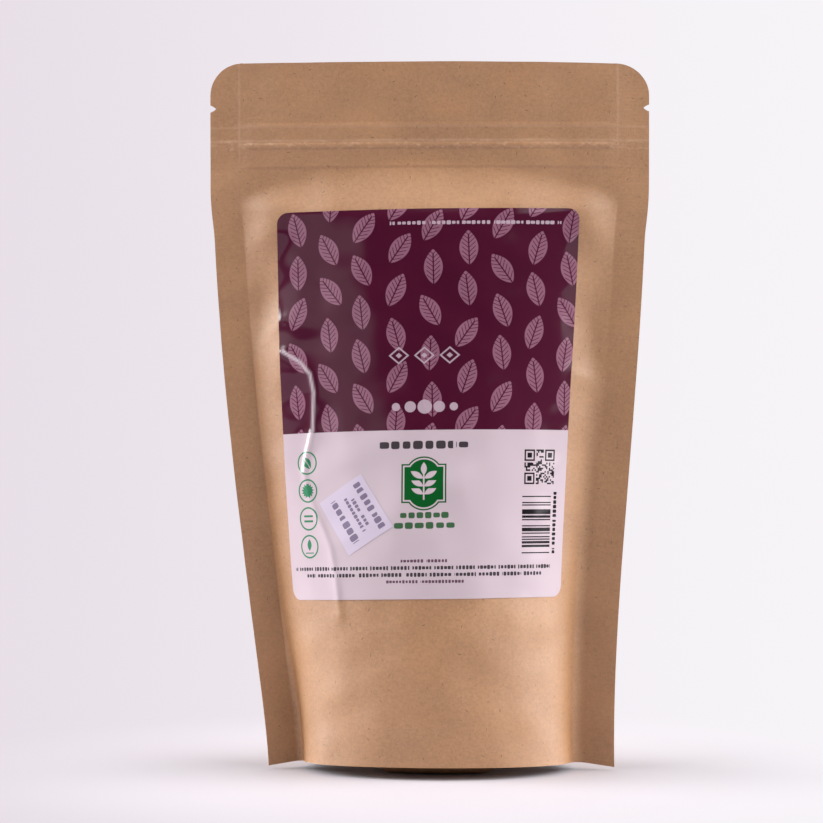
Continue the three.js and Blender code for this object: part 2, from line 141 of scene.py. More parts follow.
pouch = {
    "flatWidth": 130, "flatHeight": 210, "sideSeal": 9, "cornerRadius": 9.5,
    "notchHeight": 196.5, "notchDepth": 1.7, "notchHalfWidth": 1.0, "notchPower": 0.6,
    "fullTurn": 1.29, "turnEnd": 205, "turnPower": 1.26,
    "footTurn": 0.28, "footSquare": 0.8, "footTop": 68,
    # left and right: where beside its seal the body starts to ease back, the levels over which that
    # ends, and the turn that makes up for it
    "ease": [(0.93, (8, 62), 0.1), (0.88, (110, 170), 0.11)],
    # where the bulge and the narrowing end: the level, the height of the fade below it, and how much
    # lower and how much shorter that is at the side seals
    "bulgeEnd": (182, 20, 12, 16), "narrowEnd": (184, 22, 5, 0),
    "topBow": 5, "bowStart": 90, "topDip": 0.8, "dipStart": 190, "heightKept": 0.991,
    "tipLift": 1, "edgeLift": 1, "midLift": 1.7, "liftTop": 186,
    "footShift": 2.8, "footShiftTop": 156,
    "leanLeft": 0.45, "leanRight": 0.25, "leanTop": 170,
    "zipHeight": 185.1, "zipHalfHeight": 6, "zipHalfLength": 52.5, "zipFade": 1.2,
    "zipFlange": 0.19, "frontBead": 0.22, "backBead": 0.55, "beadEdge": (0.5, 1.1),
    "wall": 0.2, "sealHalf": 0.13, "deepestDent": 0.7,
}
halfWidth = pouch["flatWidth"] / 2
bodyHalf = halfWidth - pouch["sideSeal"]

# Dents and swells of each panel: middle (u, v), reach each way, and depth outwards.
swells = {
    -1: [
        (-52, 136, 6, 13, -2.7), (-48, 115, 8, 10, 1.8), (-49, 90, 7, 15, 1.3), (50, 134, 8, 19, -2.4),
        (50, 108, 8, 9, 1.2), (-50, 160, 7, 8, 1.8), (51, 160, 7, 8, 1.9),
    ],
    1: [
        (-49, 128, 9, 16, -1.4), (46, 140, 9, 14, -1.4), (44, 118, 12, 9, 1.8), (0, 150, 30, 14, -1.2),
    ],
}
# The edge of the left facet, from the shoulder down across the label.
facetEdge = [(-44.5, 122.5), (-38.8, 119.2), (-35.5, 115.5), (-34.4, 110), (-35.1, 98.8), (-37.5, 91),
             (-38.7, 86), (-37.2, 79), (-33.4, 71), (-30.2, 64), (-28.6, 56), (-27.6, 44)]
# Creases of each panel: the points (u, v) they run through, then width and height.
creases = {
    -1: [
        (facetEdge, 7.0, 0.6), (facetEdge, 0.9, 0.7),
        # the left shoulder, and the corner of the right facet
        ([(-44.2, 132.2), (-49.1, 128.4), (-52.3, 124.5), (-54.2, 118)], 3.5, 1.0),
        ([(47, 115.5), (51.5, 114.5), (54, 111)], 3.5, 1.0),
    ],
    1: [([(30, 118), (41, 124), (47, 133)], 5.0, 0.6), ([(-28, 70), (-36, 92), (-35, 112)], 6.0, 0.6)],
}
seams = {
    # pressed lines on the front: level or side, width and height, and where they end
    "levels": [(191.0, 0.35, 0.035), (178.9, 0.35, 0.03), (185.1, 0.45, 0.07)],
    "sides": [(-56.3, 0.45, 0.035), (55.7, 0.45, 0.03)], "levelsEnd": (55, 58), "sidesStart": (176, 182),
    "fillet": 0.4, "filletReach": 2.6, "filletTop": (60, 130), "blunt": 0.2,
}
waves = {"count": 26, "shortest": 10, "longest": 34, "height": 0.035, "seed": 7}


# How far across the body a point lies: 0 in the middle, 1 at a side seal.
def shareAcross(u):
    return np.minimum(abs(u) / bodyHalf, 1)


# 1 below a level that sags towards the side seals, easing to 0 at it.
def fadeBelow(s, v, level, height, sag, shorter):
    top = level - sag * s * s
    return 1 - smooth(v, top - height + shorter * s * s, top)


# A level of the body is a curve of fixed paper length from its middle, t = 0, to its side seal, t = 1.
# Its direction is turn t + square (t^3 - t), eased back to nothing beside the seal. The cosine of it,
# added up to s, is how far across a point lies, and the sine from s to 1 is how deep. Left and right
# differ, so each side's depth is scaled to meet the other's in the middle.
def levelPoint(u, v):
    p = pouch
    s = shareAcross(u)
    bulging, narrowing = (fadeBelow(s, v, *p[key]) for key in ("bulgeEnd", "narrowEnd"))
    foot = np.maximum(0, 1 - np.maximum(v, 0) / p["footTop"]) ** 2
    turn = p["fullTurn"] * np.maximum(0, 1 - (np.maximum(v, 0) / p["turnEnd"]) ** p["turnPower"])
    turn = turn + p["footTurn"] * foot
    steps, sides = 32, []
    for start, levels, extra in p["ease"]:
        ease = 1 - smooth(v, *levels)

        def direction(t):
            straight = 1 - ease * smooth(t, start, 1)
            return straight * ((1 + extra * ease) * turn * t + p["footSquare"] * foot * (t ** 3 - t))

        across, deep, whole = 0, 0, 1e-6
        for k in (np.arange(steps) + 0.5) / steps:
            across = across + np.cos(narrowing * direction(s * k))
            deep = deep + np.sin(bulging * direction(s + (1 - s) * k))
            whole = whole + np.sin(bulging * direction(k))
        sides.append((across / steps, (1 - s) * deep / steps, whole / steps))
    middle = (sides[0][2] + sides[1][2]) / 2
    across, deep = (np.where(u < 0, *pair) for pair in zip(*(
        (across, deep * middle / whole) for across, deep, whole in sides)))
    return bodyHalf * s * across, bodyHalf * deep


# The plane midway between the panels: drifted sideways at the foot, bowed forward at the top, its side
# seals leaning forward low down, and its bottom edge lifted off the table.
def middlePoint(u, v):
    p = pouch
    reach, _ = levelPoint(u, v)
    s = shareAcross(u)
    beyond = np.maximum(abs(u) - bodyHalf, 0)
    lean = np.where(u < 0, p["leanLeft"], p["leanRight"]) * np.maximum(0, 1 - v / p["leanTop"])
    drift = p["footShift"] * np.maximum(0, 1 - v / p["footShiftTop"]) ** 2
    bow = p["topBow"] * (1 - (u / halfWidth) ** 2) * smooth(v, p["bowStart"], p["flatHeight"])
    fromTip = np.minimum(1, (halfWidth - abs(u)) / p["sideSeal"])
    fading = np.maximum(0, 1 - (np.maximum(v, 0) / p["liftTop"]) ** 3)
    lift = p["tipLift"] + (p["edgeLift"] * fromTip + p["midLift"] * (1 - s * s)) * fading
    dip = p["topDip"] * np.maximum(0, u / halfWidth) ** 2 * smooth(v, p["dipStart"], p["flatHeight"])
    return np.stack([
        np.sign(u) * (reach + beyond * np.cos(lean)) + drift,
        -bow - beyond * np.sin(lean),
        v * p["heightKept"] + lift - dip,
    ], -1)


# Half the space that the zipper keeps between the panels, with a low bead along its middle.
def halfGap(u, v, side):
    p = pouch
    open = 1 - smooth(abs(u), p["zipHalfLength"], bodyHalf)
    away = abs(v - p["zipHeight"])
    flange = p["zipFlange"] * (1 - smooth(away, p["zipHalfHeight"], p["zipHalfHeight"] + p["zipFade"]))
    bead = p["backBead" if side > 0 else "frontBead"] * (1 - smooth(away, *p["beadEdge"]))
    return p["sealHalf"] + open * (flange + bead)


# How far (u, v) lies from the nearest of the lines that join some points.
def fromPath(u, v, path):
    nearest = 1e9
    for (u0, v0), (u1, v1) in zip(path, path[1:]):
        du, dv = u1 - u0, v1 - v0
        t = np.clip(((u - u0) * du + (v - v0) * dv) / (du * du + dv * dv), 0, 1)
        nearest = np.minimum(nearest, np.hypot(u - u0 - t * du, v - v0 - t * dv))
    return nearest


# An exponential of a distance, blunt close to 0.
def ridge(away):
    return np.exp(seams["blunt"] - np.sqrt(away ** 2 + seams["blunt"] ** 2))


# What is pressed into a panel beyond its bulge: round swells, which are bell curves, and sharp creases,
# both held to nothing at the side seals, a fillet along each seal low down, and on the front the pressed
# lines, which are narrow bell curves.
def relief(side, u, v):
    inside = 1 - shareAcross(u) ** 8
    out = np.zeros(np.broadcast(u, v).shape)
    for a, b, ra, rb, depth in swells[side]:
        out += depth * np.exp(-((u - a) / ra) ** 2 - ((v - b) / rb) ** 2)
    for path, width, height in creases[side]:
        out += height * ridge(fromPath(u, v, path) / width)
    out *= inside
    fillet = seams["fillet"] * ridge((abs(u) - bodyHalf) / seams["filletReach"])
    out += fillet * (1 - smooth(v, *seams["filletTop"]))
    if side < 0:
        for level, width, height in seams["levels"]:
            out += height * np.exp(-((v - level) / width) ** 2) * (1 - smooth(abs(u), *seams["levelsEnd"]))
        for place, width, height in seams["sides"]:
            out += height * np.exp(-((u - place) / width) ** 2) * smooth(v, *seams["sidesStart"])
    return out


# Slight unevenness that both panels share, so that they keep their distance: a sum of sine waves.
def unevenness(u, v):
    out = np.zeros(np.broadcast(u, v).shape)
    draw = np.random.default_rng(waves["seed"])
    for _ in range(waves["count"]):
        length = draw.uniform(waves["shortest"], waves["longest"])
        heading, phase = draw.uniform(0, 2 * np.pi, 2)
        along = u * np.cos(heading) + v * np.sin(heading)
        out += waves["height"] * np.sin(2 * np.pi * along / length + phase)
    return out


# The middle surface of a panel, side -1 the front and 1 the back, at flat points (u, v).
def panelPoint(side, u, v):
    u, v = np.broadcast_arrays(np.asarray(u, float), np.asarray(v, float))
    _, bulge = levelPoint(u, v)
    point = middlePoint(u, v)
    pressed = np.maximum(relief(side, u, v), -pouch["deepestDent"] * bulge)
    point[..., 1] += side * (bulge + pressed + halfGap(u, v, side)) + unevenness(u, v)
    return point


# The same surface moved outwards by a distance along its normal.
def panelOffset(side, u, v, distance):
    step = 0.15  # between the points that its directions are taken from
    across = panelPoint(side, u + step, v) - panelPoint(side, u - step, v)
    up = panelPoint(side, u, v + step) - panelPoint(side, u, v - step)
    normal = np.cross(across, up) * -side
    normal /= np.linalg.norm(normal, axis=-1, keepdims=True)
    return panelPoint(side, u, v) + normal * distance


# The half width of the flat pouch: round top corners and a tear notch in each edge.
def outline(v):
    p = pouch
    into = np.maximum(0, v - (p["flatHeight"] - p["cornerRadius"]))
    cut = p["cornerRadius"] - np.sqrt(np.maximum(0, p["cornerRadius"] ** 2 - into ** 2))
    share = np.maximum(0, 1 - abs(v - p["notchHeight"]) / p["notchHalfWidth"])
    return halfWidth - cut - p["notchDepth"] * share ** p["notchPower"]


# Links a wire to a node's input, or sets that input to a value.
def feed(socket, value):
    if isinstance(value, Wire):
        value.tree.links.new(value.socket, socket)
    else:
        socket.default_value = value


# A number in a node tree, so that a pattern can be written as a sum: each sign adds one Math node.
class Wire:
    def __init__(self, tree, socket):
        self.tree, self.socket = tree, socket

    def calc(self, operation, *others):
        node = self.tree.nodes.new("ShaderNodeMath")
        node.operation = operation
        for socket, value in zip(node.inputs, (self, *others)):
            feed(socket, value)
        return Wire(self.tree, node.outputs[0])

    def __add__(self, other): return self.calc("ADD", other)
    def __sub__(self, other): return self.calc("SUBTRACT", other)
    def __mul__(self, other): return self.calc("MULTIPLY", other)
    def __truediv__(self, other): return self.calc("DIVIDE", other)
    def __pow__(self, other): return self.calc("POWER", other)
    def __abs__(self): return self.calc("ABSOLUTE")
    def __neg__(self): return self.calc("MULTIPLY", -1.0)

    def over(self, other): return self.calc("MAXIMUM", other)
    def clamp(self, low=0.0, high=1.0): return self.calc("MINIMUM", high).over(low)

    # 1 where the number is below the limit, 0 above it, with a soft step between
    def under(self, limit, soft=0.08):
        return ((self * -1.0 + limit) / soft + 0.5).clamp()


# How far a point lies from the origin.
def lengthOf(x, y):
    return (x ** 2.0 + y ** 2.0).calc("SQRT")


def addNode(tree, kind, **settings):
    node = tree.nodes.new("ShaderNode" + kind)
    for key, value in settings.items():
        if key in node.inputs:
            feed(node.inputs[key], value)
        else:
            setattr(node, key, value)
    return node


# The three parts of a vector, or of a colour.
def split(tree, socket, kind="XYZ"):
    node = addNode(tree, "Separate" + kind)
    tree.links.new(socket, node.inputs[0])
    return [Wire(tree, output) for output in node.outputs]


# x and y in millimetres on the piece laid flat.
def flatPlace(tree):
    return split(tree, addNode(tree, "UVMap", uv_map="flat").outputs["UV"])[:2]


def vector(tree, x, y, z=0.0):
    return Wire(tree, addNode(tree, "CombineXYZ", X=x, Y=y, Z=z).outputs[0])


def noise(tree, x, y, z=0.0, detail=2.0, roughness=0.5):
    place = vector(tree, x, y, z)
    node = addNode(tree, "TexNoise", Vector=place, Scale=1.0, Detail=detail, Roughness=roughness)
    return Wire(tree, node.outputs["Fac"])


# What is drawn at random for a cell: a value and a colour.
def randomAt(tree, x, y):
    return addNode(tree, "TexWhiteNoise", Vector=vector(tree, x, y)).outputs


def mixColour(tree, share, low, high):
    node = tree.nodes.new("ShaderNodeMix")
    node.data_type = "RGBA"
    for key, value in ((0, share), (6, low), (7, high)):
        feed(node.inputs[key], (*value, 1.0) if isinstance(value, tuple) else value)
    return Wire(tree, node.outputs[2])


# sRGB from 0 to 255, as a picture editor shows it, to the linear colour that a node takes.
def rgb(*shown):
    c = np.array(shown) / 255
    return tuple(float(x) for x in np.where(c <= 0.04045, c / 12.92, ((c + 0.055) / 1.055) ** 2.4))


def newMaterial(name, settings):
    material = bpy.data.materials.new(name)
    material.use_nodes = True
    tree = material.node_tree
    shader = tree.nodes["Principled BSDF"]
    for key, value in settings.items():
        shader.inputs[key].default_value = value
    return material, tree, shader


def bumpInto(tree, shader, height, strength, distance):
    bump = addNode(tree, "Bump", Strength=strength, Distance=distance, Height=height)
    tree.links.new(bump.outputs["Normal"], shader.inputs["Normal"])


# An empty node group that makes a mask, its inputs, all of one kind, and its output.
def maskGroup(name, kind, *labels):
    group = bpy.data.node_groups.new(name, "ShaderNodeTree")
    for label in labels:
        group.interface.new_socket(label, in_out="INPUT", socket_type="NodeSocket" + kind)
    group.interface.new_socket("Mask", in_out="OUTPUT", socket_type="NodeSocketFloat")
    into, out = group.nodes.new("NodeGroupInput"), group.nodes.new("NodeGroupOutput")
    return group, [into.outputs[label] for label in labels], out.inputs["Mask"]


# Paper grain: cloudy mottle, fine fibres that run every way, sparse short dark fibres, each turned its own
# way in its own cell, and the height of the paper.
def paperGrain(tree, x, y):
    fibreLength, speckSize, speckShare = 1.2, 0.38, 0.4
    broad = noise(tree, x * 0.045, y * 0.05, 3.0, detail=3)
    cloud = noise(tree, x * 0.5, y * 0.55, 7.0, detail=5, roughness=0.62)
    sideways = noise(tree, x / fibreLength, y * 1.5, detail=3, roughness=0.65)
    upward = noise(tree, x * 1.5, y / fibreLength, 5.0, detail=3, roughness=0.65)
    slanted = noise(tree, (x + y) * 1.3, (x - y) / fibreLength, 9.0, detail=2, roughness=0.6)
    fibre = sideways * 0.36 + upward * 0.34 + slanted * 0.3
    cells = addNode(tree, "TexVoronoi", Vector=vector(tree, x, y), Scale=0.24, Randomness=1.0)
    red, green, blue = split(tree, cells.outputs["Color"], "Color")
    centreX, centreY, _ = split(tree, cells.outputs["Position"])
    angle, dx, dy = red * (2 * np.pi), x - centreX, y - centreY
    cosine, sine = angle.calc("COSINE"), angle.calc("SINE")
    along = dx * cosine + dy * sine
    across = dy * cosine - dx * sine + along * along * 0.25
    size = (green + 0.45) * speckSize
    shape = (along / size) ** 2.0 + (across / (size * 0.24)) ** 2.0
    speck = shape.under(1.0, 0.8) * blue.calc("LESS_THAN", speckShare)
    return broad * 0.5 + cloud * 0.5, fibre, speck, fibre * 0.8 + cloud * 0.2


backFlat = 400.0  # how far above the front panel the back one lies in the flat
kraft = {
    "dark": rgb(140, 98, 62), "light": rgb(186, 138, 94), "speck": rgb(84, 52, 32),
    "wearAndHighlight": rgb(212, 176, 146), "roughness": 0.54, "bump": 0.2, "ribPitch": 1.05,
    "contrast": (1.2, 1.7),
    # pale lines, part wear and part painted highlight: across at a level, up beside the seals from a level
    # on, and the zipper's band of flecks
    "wearAndHighlightLevels": [(190.8, 0.3, 0.2), (186.7, 0.35, 0.28)], "wearAndHighlightSides": [(-56.3, 0.3), (55.7, 0.3)],
    "sidesFrom": 182.0, "wearAndHighlightBand": (185.4, 1.5),
}


# Kraft paper: two browns mixed by mottle and fibres, dark fibres over them, paler along the zipper and
# the seals, part wear and part painted highlight, and faint ribs where the sealing bars pressed the side
# seals.
def makeKraft():
    material, tree, shader = newMaterial("kraftPaper", {"Specular IOR Level": 1.0})
    x, y = flatPlace(tree)
    mottle, fibre, speck, height = paperGrain(tree, x, y)
    ofMottle, ofFibre = kraft["contrast"]
    tone = (mottle - 0.5) * ofMottle + (fibre - 0.5) * ofFibre + 0.5
    colour = mixColour(tree, tone.clamp(), kraft["dark"], kraft["light"])
    colour = mixColour(tree, speck * 0.7, colour, kraft["speck"])
    # pale lines and flecks along the seams and the zipper: part wear, part painted highlight
    level = y.calc("FLOORED_MODULO", backFlat)
    wearAndHighlight = None
    for place, width, share in kraft["wearAndHighlightLevels"]:
        line = abs(level - place).under(width, 0.5) * share
        wearAndHighlight = line if wearAndHighlight is None else wearAndHighlight.over(line)
    for place, width in kraft["wearAndHighlightSides"]:
        above = (level * -1.0).under(-kraft["sidesFrom"], 6.0)
        wearAndHighlight = wearAndHighlight.over(abs(x - place).under(width, 0.5) * above * 0.25)
    flecks = ((noise(tree, x * 0.5, y * 0.8, 4.0, detail=4, roughness=0.7) - 0.52) * 7.0).clamp()
    band = abs(level - kraft["wearAndHighlightBand"][0]).under(kraft["wearAndHighlightBand"][1], 1.2)
    wearAndHighlight = wearAndHighlight * (noise(tree, x * 0.12, y * 0.12, 6.0) * 1.6 - 0.1) + flecks * band * 0.36
    colour = mixColour(tree, wearAndHighlight.over(0.0), colour, kraft["wearAndHighlight"])
    feed(shader.inputs["Base Color"], colour)
    feed(shader.inputs["Roughness"], (fibre - 0.5) * 0.3 + kraft["roughness"])
    inSeal = abs(x).calc("GREATER_THAN", bodyHalf + 0.6)
    ribs = (y * (2 * np.pi / kraft["ribPitch"])).calc("SINE") * inSeal
    bumpInto(tree, shader, height + ribs * 0.05, kraft["bump"], 0.0004)
    return material


# The film that lines the paper: grey-white, smooth and a little cloudy.
def makeLining():
    material, tree, shader = newMaterial("filmLining", {"Roughness": 0.28})
    x, y = flatPlace(tree)
    cloud = noise(tree, x * 0.2, y * 0.2, detail=3)
    feed(shader.inputs["Base Color"], mixColour(tree, cloud, rgb(178, 176, 172), rgb(214, 212, 208)))
    bumpInto(tree, shader, cloud, 0.2, 0.0006)
    return material


kraftPaper = makeKraft()
filmLining = makeLining()
print("materials made")


# Columns lie closer at the side seals, and rows at the zipper and the notches. The last rows follow the
# round corners, and only what lies outside the bend is drawn in there and at the notches.
panelGrid = {
    "columns": (0.95, 0.4, 0.9), "rows": (0.95, 0.22, 1.2), "besideZip": (-6.4, 0, 6.2),
    "belowTop": 3, "belowArc": 0.2, "arcStart": 0.78, "arcRows": 14, "bend": 45,
}


def makePanel(name, side):
    p, g = pouch, panelGrid
    step, fine, near = g["columns"]
    columns = spread(-halfWidth, halfWidth, step, (-bodyHalf, bodyHalf), fine, near)
    step, fine, near = g["rows"]
    rowPlaces = [p["zipHeight"] + d for d in g["besideZip"]] + [p["notchHeight"]]
    rows = spread(0, p["flatHeight"] - g["belowTop"], step, rowPlaces, fine, near)
    turn = np.linspace(g["arcStart"], np.pi / 2, g["arcRows"])
    arc = p["flatHeight"] - p["cornerRadius"] * (1 - np.sin(turn))
    rows = np.concatenate([rows[rows < arc[0] - g["belowArc"]], arc])
    v = np.repeat(rows[:, None], len(columns), 1)
    bend = g["bend"]
    beyond = np.maximum(abs(columns) - bend, 0) / (halfWidth - bend)
    u = np.sign(columns) * (np.minimum(abs(columns), bend) + beyond * (outline(v) - bend))
    if side > 0:
        u = u[:, ::-1]
    flat = np.stack([u, v + (backFlat if side > 0 else 0)], -1)
    mesh = sheetMesh(name, panelPoint(side, u, v), p["wall"], flat, [kraftPaper, filmLining])
    return addObject(name, mesh)


frontPaper = makePanel("frontPaper", -1)
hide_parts("front_panel")
backPaper = makePanel("backPaper", 1)
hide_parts("back_panel")
print("panels:", len(frontPaper.data.polygons), "faces each")


gusset = {
    "height": 36, "bottomSeal": 5, "end": bodyHalf - 1.5, "gap": 0.12, "keelFlat": 14, "keelTop": 34.5,
    "keelPower": 1.3, "flatShare": 0.42,
    "keelCurve": 1.6, "columnStep": 1.0, "columnFine": (0.4, 0.8), "flapRows": 9, "flapStart": 0.01,
    "freeRows": 44, "crestHeight": 1.2, "crestShare": 0.3, "crestWidth": 0.035, "flatStart": 700,
}


# Where the gusset's seal ends on a panel: half an ellipse, high at the sides and low in the middle.
def sealLine(u):
    g = gusset
    return g["height"] - (g["height"] - g["bottomSeal"]) * np.sqrt(np.maximum(0, 1 - (u / bodyHalf) ** 2))


# The gusset runs up inside each panel to the seal line, turns over a small crest, and hangs between
# them. Its free part is keel + (rim - keel) share^curve, flat in the middle.
def makeGusset():
    g = gusset
    u = spread(-g["end"], g["end"], g["columnStep"], (-g["end"], g["end"]), *g["columnFine"])[::-1]
    share = np.linspace(g["flapStart"], 1, g["flapRows"])[:, None]
    flapV = share * sealLine(u)
    inset = -(pouch["wall"] + g["gap"])
    flapU = np.broadcast_to(u, flapV.shape)
    front = panelOffset(-1, flapU, flapV, inset)
    back = panelOffset(1, flapU, flapV, inset)[::-1]
    middle = (front[-1] + back[0]) / 2
    half = (back[0] - front[-1])[:, 1] / 2
    out = np.maximum(0, abs(u) - g["keelFlat"]) / (g["end"] - g["keelFlat"])
    keel = pouch["wall"] / 2 + g["keelTop"] * out ** g["keelPower"]
    flat = g["flatShare"] * np.maximum(0, 1 - (u / g["end"]) ** 2)
    w = np.sin(np.linspace(-1, 1, g["freeRows"]) * np.pi / 2)[1:-1, None]
    away = np.maximum(0, abs(w) - flat) / (1 - flat)
    fromCrest = (abs(w) - 1 + g["crestWidth"]) / g["crestWidth"]
    crest = np.minimum(g["crestHeight"], g["crestShare"] * half)
    crest = crest * np.sqrt(np.maximum(0, 1 - fromCrest ** 2))
    z = keel + (middle[:, 2] - keel) * away ** g["keelCurve"] + crest
    free = np.stack([np.broadcast_to(middle[:, 0], z.shape), middle[:, 1] + half * w, z], -1)
    grid = np.concatenate([front, free, back])
    along = np.linalg.norm(np.diff(grid, axis=0), axis=-1)
    v = np.concatenate([np.zeros((1, len(u))), np.cumsum(along, 0)])
    flatPlaces = np.stack([np.broadcast_to(u, v.shape), v + g["flatStart"]], -1)
    mesh = sheetMesh("gussetPaper", grid, pouch["wall"], flatPlaces, [kraftPaper, filmLining])
    return addObject("gussetPaper", mesh)


gussetPaper = makeGusset()
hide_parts("bottom_gusset")
print("gusset made")


inks = {
    "plumDark": rgb(64, 11, 36), "plumLight": rgb(75, 16, 42), "mauve": rgb(137, 92, 112),
    "pale": rgb(186, 166, 178), "white": rgb(194, 178, 186), "black": rgb(22, 18, 22),
    "green": rgb(10, 84, 34), "ringGreen": rgb(42, 122, 84), "plumText": rgb(84, 50, 70),
    "stickerText": rgb(78, 60, 98), "stickerPaper": rgb(196, 184, 204),
}
motif = {
    "across": 10.2, "up": 13.0, "wide": 2.75, "long": 5.5, "tilt": 1.3, "shift": 1.0, "veinPitch": 1.35,
    "start": (3.1, 200.7),
}


# 1 inside a leaf that stands on its tip: its half width is wide (1 - (y / long)^2).
def leafMask(x, y, wide, long, soft=0.14):
    return (abs(x) - ((y / long) ** 2.0 * -1.0 + 1.0) * wide).under(0.0, soft)


def turned(x, y, cosine, sine):
    return x * cosine + y * sine, y * cosine - x * sine


def boxMask(x, y, halfWide, halfHigh, soft=0.08):
    return abs(x).under(halfWide, soft) * abs(y).under(halfHigh, soft)


# Rows of leaves, every second column half a step lower, each leaf with its own tilt and place, and its
# veins left dark.
def makeLeafPattern():
    group, (place,), mask = maskGroup("leafPattern", "Vector", "Place")
    m = motif
    x, y = (part + start for part, start in zip(split(group, place), m["start"]))
    column = (x / m["across"]).calc("FLOOR")
    y = y + column.calc("FLOORED_MODULO", 2.0) * (m["up"] / 2)
    row = (y / m["up"]).calc("FLOOR")
    drawn = randomAt(group, column, row)["Color"]
    red, green, blue = (part - 0.5 for part in split(group, drawn, "Color"))
    px = x - (column + 0.5) * m["across"] + green * m["shift"]
    py = y - (row + 0.5) * m["up"] + blue * m["shift"]
    angle = red * m["tilt"]
    px, py = turned(px, py, angle.calc("COSINE"), angle.calc("SINE"))
    body = leafMask(px, py, m["wide"], m["long"])
    rib = abs(px).under(0.2, 0.12) * py.under(4.1, 0.2)
    along = (py - abs(px) * 0.9) / m["veinPitch"]
    vein = abs(along - along.calc("ROUND")).under(0.1, 0.1) * abs(px).under(2.0, 0.2)
    feed(mask, body * (-(rib.over(vein)) + 1.0))
    return group


# A row of dashes that stands where small print would: each cell has a dash of its own length and height,
# with round corners, and longer gaps part them into words.
def makeDashRow():
    labels = "X", "Y", "Half Length", "Half Height", "Pitch", "Word", "Seed"
    group, sockets, mask = maskGroup("dashRow", "Float", *labels)
    x, y, halfLength, halfHeight, pitch, word, seed = (Wire(group, socket) for socket in sockets)
    cell = (x / pitch).calc("FLOOR")
    red, green, _ = split(group, randomAt(group, cell, seed)["Color"], "Color")
    inCell = (x / pitch - cell - 0.5) * pitch
    wide = (red * -0.12 + 0.45) * pitch
    tall = halfHeight * (green * 0.3 + 0.7)
    dash = ((inCell / wide) ** 4.0 + (y / tall) ** 4.0).under(1.0, 0.35)
    wordPlace = x / word + seed * 0.37
    wordGap = abs(wordPlace - wordPlace.calc("ROUND")) * word
    between = (wordGap * -1.0).under(-0.42)
    ends = (abs(x) - halfLength).under(0.0)
    feed(mask, dash * between * ends)
    return group


leafPattern = makeLeafPattern()
dashRow = makeDashRow()


# One such row: x, y, half its length, half its height, its pitch, a word's length and its seed.
def dashes(tree, *values):
    node = addNode(tree, "Group", node_tree=dashRow)
    for socket, value in zip(node.inputs, values):
        feed(socket, value)
    return Wire(tree, node.outputs["Mask"])


# Where each thing is printed, in millimetres from the label's middle: rows of dashes have a middle, half
# a length, half a height, a pitch, a word length and an ink. The ornament's row and the dots have a middle
# and a pitch, then half sizes, or a radius and how much smaller each next dot is. The plaque has a middle,
# half sizes, and the height and radius of its caps.
printed = {
    "edge": -8.6,
    "ornament": (0.0, 13.6, 7.4, 3.1, 2.7), "dots": (0.3, -1.7, 4.2, 2.1, 0.45),
    "rows": [
        ((14.4, 53.7), 25.2, 0.62, 1.45, 9.4, "pale"),
        ((0.1, -13.0), 12.9, 1.25, 3.3, 60.0, "black"),
        ((0.3, -33.6), 7.2, 0.95, 2.4, 60.0, "green"),
        ((0.4, -36.6), 9.0, 1.05, 3.0, 60.0, "green"),
        ((0.2, -46.9), 6.7, 0.5, 1.0, 8.2, "plumText"),
        ((-1.4, -48.9), 41.3, 0.62, 1.05, 6.3, "black"),
        ((-0.6, -50.9), 37.2, 0.62, 1.1, 7.1, "black"),
        ((0.5, -52.9), 11.3, 0.5, 0.95, 23.0, "plumText"),
    ],
    "plaque": (0.2, -24.3, 6.0, 5.2, 2.5, 4.9), "rings": (-36.4, -17.5, 8.25, 3.5),
    "blocks": (35.3, -19.6, 21, 0.49), "bars": (34.6, -36.1, 5.0, 9.1, 0.36),
}


# A row of three open diamonds, each with a small full one inside, and under it a row of five discs.
def ornamentMask(x, y):
    cx, cy, pitch, halfWide, halfHigh = printed["ornament"]
    dx, dy = x - cx, y - cy
    step = (dx / pitch).calc("ROUND").clamp(-1.0)
    diamond = abs(dx - step * pitch) / halfWide + abs(dy) / halfHigh
    lines = abs(diamond - 0.86).under(0.11)
    lines = lines.over(diamond.under(0.3, 0.1))
    cx, cy, pitch, radius, smaller = printed["dots"]
    dx, dy = x - cx, y - cy
    step = (dx / pitch).calc("ROUND").clamp(-2.0, 2.0)
    disc = lengthOf(dx - step * pitch, dy)
    size = -(abs(step) * smaller) + radius
    return lines.over((disc - size).under(0.0, 0.1))


# A green plaque, straight at the sides and round above and below, with a pale line just inside its edge
# and a pale sprig: a stem with leaves in pairs.
def plaqueMasks(x, y):
    cx, cy, halfWide, halfHigh, capHeight, capRadius = printed["plaque"]
    dx, dy = x - cx, y - cy
    box = (abs(dx) - halfWide).over(abs(dy) - halfHigh)
    cap = lengthOf(dx, abs(dy) - capHeight) - capRadius
    edge = box.calc("MINIMUM", cap)
    whole = edge.under(0.5, 0.1)
    line = abs(edge + 0.15).under(0.22)
    stem = abs(dx).under(0.22) * abs(dy + 0.4).under(4.4, 0.1)
    step = ((dy + 0.3) / 2.3).calc("ROUND").clamp(-1.0)
    lx, ly = turned(abs(dx) - 1.95, dy + 0.3 - step * 2.3 - 0.5, 0.5, -0.866)
    sprig = stem.over(leafMask(lx, ly, 0.85, 2.1, 0.1))
    sprig = sprig.over(leafMask(dx, dy - 4.3, 0.85, 1.9, 0.1))
    return whole, line.over(sprig)


